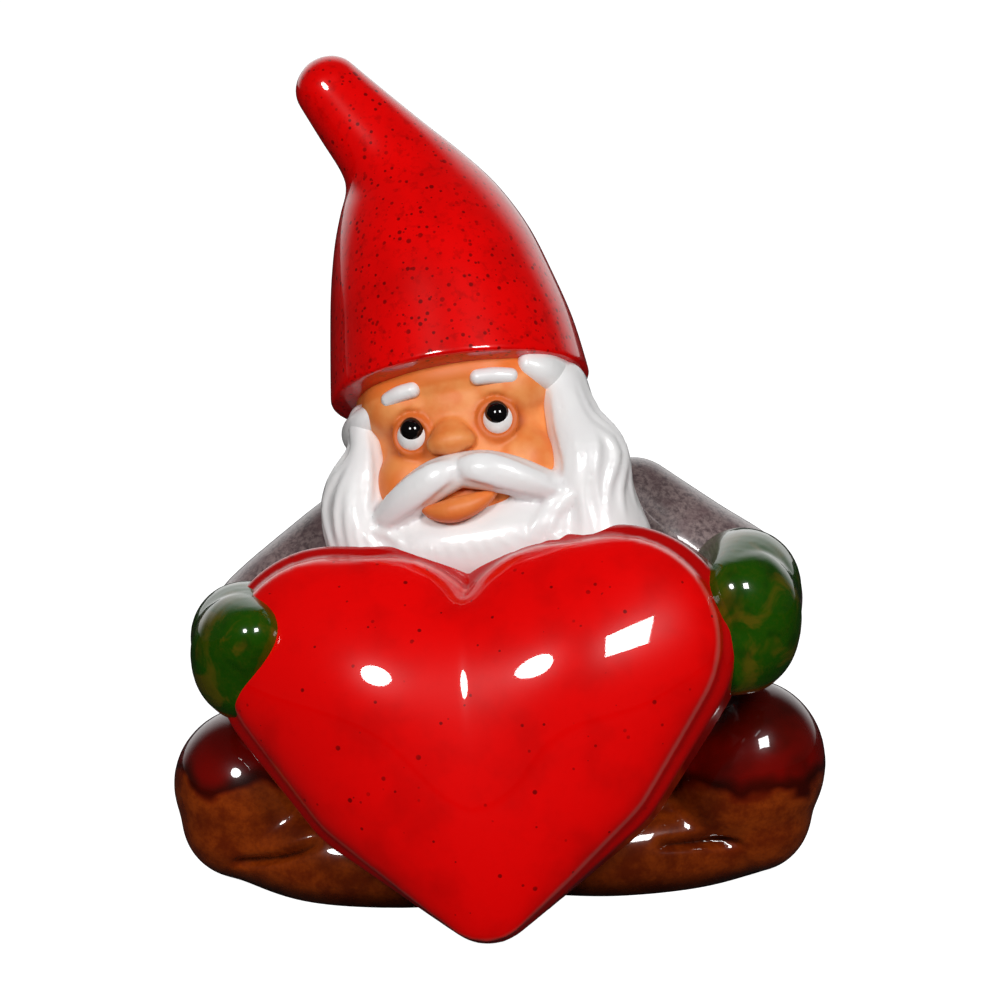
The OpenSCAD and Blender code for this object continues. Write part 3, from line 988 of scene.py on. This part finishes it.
class TOMTE_OT_hair(bpy.types.Operator):
    """Tufts under the brim and combed hair at the back"""

    bl_idname = "tomte.hair"
    bl_label = "Hair"

    def execute(self, context):
        place = face_frame()
        tufts = {
            "left": [(13.8, 1.4, 8.2, 2.0, 2.6, 2.4), (15.8, 4.0, 6.8, 3.3, 3.8, 3.2),
                     (17.2, 9.5, 5.6, 3.5, 4.6, 3.3), (16.8, 15, 5.2, 3.4, 5, 3.3)],
            "right": [(-13.9, 3.0, 5.2, 1.7, 2.4, 1.9), (-16.0, 5, 4.2, 2.9, 3.4, 2.8),
                      (-18.2, 10, 3.0, 3.4, 4.8, 3.4), (-18.4, 16, 2.4, 3.4, 5, 3.8)],
        }
        for side_name, beads in tufts.items():
            tuft = clay(f"{side_name}_tuft", limb(beads, count=18, segments=24), 0.35, 6)
            settle(tuft, place)
            present(tuft, hair_glaze(), f"{side_name}_temple_lock")
        back = clay("back_hair_form", limb([
            (-16, 11, -8, 4, 7, 9),
            (-15.5, 17, -3, 4.5, 7, 9),
            (-13, 27, -3, 6, 6, 11),
            (0, 34, -4, 8, 5, 12),
            (12.5, 27, -3, 6, 6, 11),
            (16, 17, -3, 4.5, 7, 9),
            (17.5, 11, -8, 4, 7, 9),
        ], count=22), 0.5, 6)
        lines = [
            [(-24, 14, 8), (-18, 34, 8), (0, 42, 8), (18, 34, 8), (25, 14, 8)],
            [(-25, 14, -3), (-19, 36, -4), (0, 44, -4), (19, 36, -4), (26, 14, -3)],
            [(-24, 14, -13), (-18, 35, -15), (0, 42, -17), (18, 35, -15), (25, 14, -13)],
        ]
        paths = combed(back, lines, 20, 0.2, wave=0.8, turns=1.1, seed=11)
        back = clay(back.name, [back, add_strands("strands", paths, 1.3)], 0.45, 4)
        settle(back, place)
        present(back, hair_glaze(), "back_hair")
        return {"FINISHED"}


class TOMTE_OT_coat(bpy.types.Operator):
    """Rounded coat with its two sleeves"""

    bl_idname = "tomte.coat"
    bl_label = "Coat"

    def execute(self, context):
        glaze = coat_glaze("coat_glaze")
        coat = clay("coat_form", limb(moved([
            (0, -0.1, -20.4, 30, 25, 8),
            (0, -0.1, -6, 31, 25, 16),
            (-1, -1, 10, 28.5, 22.5, 14),
            (-3, -4, 20, 22, 18, 9),
        ], "coat_body"), count=14, segments=64), 0.8, 16)
        present(coat, glaze, "coat_body")
        sleeves = {
            "left": [(-10.1, 8.5, 6.7, 8.6, 8.6, 8.6), (-0.1, 5.5, 0.7, 8.5, 9.5, 8.5),
                     (8.9, 0.5, -5.1, 9, 9.5, 9.5), (10.3, -8.5, -6.3, 8, 8.5, 8.5)],
            "right": [(9.5, 8.5, 8.0, 8.5, 8.5, 8.5), (3.3, 5.5, 3.8, 8.5, 9.5, 8.5),
                      (-7.7, 0.5, -5.8, 9, 9.5, 9.5), (-9.7, -8.5, -7.8, 8, 8.5, 8.5)],
        }
        for side_name, beads in sleeves.items():
            sleeve = clay(f"{side_name}_sleeve_form", limb(moved(beads, f"{side_name}_sleeve")), 0.5, 10)
            present(sleeve, glaze, f"{side_name}_sleeve")
        return {"FINISHED"}


class TOMTE_OT_mittens(bpy.types.Operator):
    """Green mittens that clasp the heart"""

    bl_idname = "tomte.mittens"
    bl_label = "Mittens"

    def execute(self, context):
        glaze = green_glaze("green_glaze")
        mittens = {
            "left": [(-0.5, 8.8, 2.5, 9, 8.1, 9), (0, 2.2, 2.5, 9, 9, 10),
                     (-2.4, -6.4, 5.2, 5.6, 6, 5.8), (0.5, -4.2, -0.5, 8.4, 8.6, 11.4),
                     (-2.5, -6.4, -5.0, 6, 6.5, 8)],
            "right": [(0.9, 8.8, 0.3, 9, 8.1, 9), (-0.7, 4.0, 1.1, 9, 9, 9.4),
                      (1.2, -6.2, 5.2, 5.4, 5.8, 4.9), (-0.9, -1.2, -0.3, 8.6, 8.4, 10.4),
                      (1.6, -2.0, -3.8, 6.8, 6.5, 8)],
        }
        for side_name, beads in mittens.items():
            mitten = clay(f"{side_name}_mitten_form", limb(moved(beads, f"{side_name}_mitten")), 0.5, 10)
            present(mitten, glaze, f"{side_name}_mitten")
        return {"FINISHED"}


class TOMTE_OT_legs(bpy.types.Operator):
    """Folded legs: a thigh with its knee over a shin that rests on the table"""

    bl_idname = "tomte.legs"
    bl_label = "Legs"

    def execute(self, context):
        glaze = leg_glaze("brown_glaze")
        thighs = {
            "left": [(-23.2, 14.7, -5, 10, 11, 11), (-7.2, 4.7, -2, 11, 11.5, 12),
                     (4.2, -6.3, 0.3, 12.6, 12, 14.4), (0.3, -10.3, -1.5, 10.5, 9.5, 11.5)],
            "right": [(23.1, 14.6, -1.5, 10, 11, 11), (7.1, 4.6, -0.3, 11, 11.5, 12),
                      (-4.4, -6.4, 0.2, 12.6, 12, 12.9), (-0.4, -10.4, -1.6, 10.5, 9.5, 11.5)],
        }
        shins = {
            "left": [(16.0, 4.4, 0.2, 9.4, 8.2, 8.6), (5.1, -0.5, -0.7, 9.2, 9.0, 8.9),
                     (-6.9, -4.7, -1.1, 7.6, 7.8, 8.2), (-17.9, -5.1, -1.5, 6.2, 6.7, 7.2)],
            "right": [(-15.4, 5.9, 0.2, 10.4, 8.4, 8.8), (-4.6, -1.9, -0.7, 9.6, 10.2, 9.0),
                      (7.4, -6.2, -1.1, 7.6, 8.2, 8.2), (18.4, -6.6, -1.5, 6.2, 6.9, 7.2)],
        }
        fillers = {"left": (4.6, -7.3, -7.8, 10.2, 10, 11.2), "right": (-5.2, -8.4, -5.6, 10.6, 10, 10.7)}
        creases = {
            "left": [(-12, 0, -10.2), (-5, 0, -10.4), (1.5, 0, -11.4)],
            "right": [(-6, 0, -11.2), (1, 0, -8.2), (8, 0, -4.6)],
        }
        for side_name in SIDES:
            thigh = f"{side_name}_thigh"
            lumps = limb(moved(thighs[side_name], thigh))
            lumps += limb(moved(shins[side_name], f"{side_name}_shin"))
            lumps += [ball(bead) for bead in moved([fillers[side_name]], thigh)]
            leg = clay(f"{side_name}_leg", lumps, 0.5, 70)
            stations = moved(creases[side_name], thigh)
            path = [front_of(leg, spot) for spot in spread(stations, 60)]
            score(leg, path, 0.9, 2.0)
            flatten(leg)
            present(leg, glaze, thigh, f"{side_name}_shin")
        return {"FINISHED"}


def front_of(piece, point):
    """The spot on the piece's front straight before the point, in millimetres."""
    found, spot, _, _ = piece.ray_cast(Vector((point[0], -90, point[2])) * MM, Vector((0, 1, 0)))
    if not found:
        raise RuntimeError(f"{piece.name} has nothing in front of {point}")
    return spot / MM


def score(piece, path, width, depth):
    """Presses a narrow groove of that depth into the piece along the path."""
    co, normal = skin_of(piece)
    pressed = np.zeros(len(co))
    for k, spot in enumerate(path):
        share = math.sin(math.pi * (k + 0.5) / len(path)) ** 0.5
        gap = np.linalg.norm(co - np.array(spot), axis=1)
        pressed = np.maximum(pressed, share * np.exp(-((gap / width) ** 2)))
    co -= normal * pressed[:, None] * depth
    reshape(piece, co)


def flatten(piece):
    """Cuts off what lies below the table and closes the cut."""
    pick(piece)
    mode("EDIT")
    bpy.ops.mesh.select_all(action="SELECT")
    bpy.ops.mesh.bisect(plane_co=(0, 0, 0), plane_no=(0, 0, 1), use_fill=True, clear_inner=True)
    mode("OBJECT")


class TOMTE_OT_foot(bpy.types.Operator):
    """Unglazed foot slab, kept as it is in the frame"""

    bl_idname = "tomte.foot"
    bl_label = "Foot"

    def execute(self, context):
        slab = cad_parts["foot_slab"]
        slab.data.materials.clear()
        slab.data.materials.append(bare_clay("bare_clay"))
        return {"FINISHED"}


class TOMTE_OT_stage(bpy.types.Operator):
    """Pale floor, two softboxes, a light backdrop and the camera"""

    bl_idname = "tomte.stage"
    bl_label = "Stage"

    def execute(self, context):
        studio = context.scene.tomte_studio
        deselect()
        bpy.ops.mesh.primitive_plane_add(size=6, location=(0, 0, 0))
        floor = context.object
        floor.name = "floor"
        floor.data.materials.append(floor_paper("floor_paper"))

        aim = Vector((0, 0, studio.aim_height))
        add_softbox("softbox_right", aim, 24, 34, studio.key_power, "SQUARE")
        add_softbox("softbox_left", aim, -24, 30, studio.key_power * 0.8, "DISK")
        build_sweep(context.scene)

        back = Vector((0, -math.cos(studio.camera_pitch), math.sin(studio.camera_pitch)))
        bpy.ops.object.camera_add(location=aim + back * studio.camera_distance)
        camera = context.object
        camera.rotation_euler = (math.pi / 2 - studio.camera_pitch, 0, 0)
        camera.data.lens = studio.camera_lens
        camera.data.clip_start = 0.01
        context.scene.camera = camera
        context.scene.view_settings.view_transform = "Standard"
        return {"FINISHED"}


def floor_paper(name):
    """Paper that looks white to the camera and throws little light back on the figure."""
    paper = glaze_nodes(name)
    path = paper.add("LightPath")
    seen = path["Is Camera Ray"]
    unseen = paper.blend(path["Is Glossy Ray"], (0.2, 0.2, 0.2, 1), (0.02, 0.02, 0.02, 1))
    paper.feed(paper.end, {"Emission Color": (1, 1, 1, 1), "Emission Strength": seen})
    return paper.finish(paper.blend(seen, unseen, (0.45, 0.45, 0.45, 1)), 0.9, sheen=0)


def add_softbox(name, aim, azimuth, elevation, power, shape, distance=1.0, width=0.24):
    """A square or round soft light that looks at the figure from azimuth and elevation in degrees."""
    a, e = math.radians(azimuth), math.radians(elevation)
    away = Vector((math.sin(a) * math.cos(e), -math.cos(a) * math.cos(e), math.sin(e)))
    bpy.ops.object.light_add(type="AREA", location=aim + away * distance)
    light = bpy.context.object
    light.name = name
    light.rotation_euler = away.to_track_quat("Z", "Y").to_euler()
    light.data.shape = shape
    light.data.size = width
    light.data.energy = power


def build_sweep(scene):
    """A white sweep behind the figure and a dim room behind the camera."""
    scene.world = bpy.data.worlds.new("studio")
    sweep = Nodes(scene.world, "BACKGROUND")
    ahead = sweep.add("SeparateXYZ", {0: sweep.add("TexCoord")["Generated"]})["Y"]
    seen = sweep.add("LightPath")["Is Camera Ray"]
    strength = sweep.maths("MAXIMUM", sweep.ramp(ahead, 0.45, 0.85, 0.03, 1.0), seen)
    sweep.feed(sweep.end, {"Color": (1, 1, 1, 1), "Strength": strength})


class TOMTE_PT_pieces(bpy.types.Panel):
    bl_idname = "TOMTE_PT_pieces"
    bl_label = "Tomte"
    bl_space_type = "VIEW_3D"
    bl_region_type = "UI"
    bl_category = "Tomte"

    def draw(self, context):
        for operator in STEPS:
            self.layout.operator(operator.bl_idname)
        for group in (context.scene.tomte_form, context.scene.tomte_glaze, context.scene.tomte_studio):
            box = self.layout.box()
            for key in group.__annotations__:
                box.prop(group, key)


STEPS = [
    TOMTE_OT_stage,
    TOMTE_OT_heart,
    TOMTE_OT_hat,
    TOMTE_OT_head,
    TOMTE_OT_eyes,
    TOMTE_OT_brows,
    TOMTE_OT_beard,
    TOMTE_OT_hair,
    TOMTE_OT_coat,
    TOMTE_OT_mittens,
    TOMTE_OT_legs,
    TOMTE_OT_foot,
]
CLASSES = [TomteForm, TomteGlaze, TomteStudio, *STEPS, TOMTE_PT_pieces]


def register():
    for cls in CLASSES:
        bpy.utils.register_class(cls)
    bpy.types.Scene.tomte_form = bpy.props.PointerProperty(type=TomteForm)
    bpy.types.Scene.tomte_glaze = bpy.props.PointerProperty(type=TomteGlaze)
    bpy.types.Scene.tomte_studio = bpy.props.PointerProperty(type=TomteStudio)


def unregister():
    del bpy.types.Scene.tomte_studio
    del bpy.types.Scene.tomte_glaze
    del bpy.types.Scene.tomte_form
    for cls in reversed(CLASSES):
        bpy.utils.unregister_class(cls)


def main():
    register()
    for step in STEPS:
        group, verb = step.bl_idname.split(".")
        getattr(getattr(bpy.ops, group), verb)()


if __name__ == "__main__":
    main()
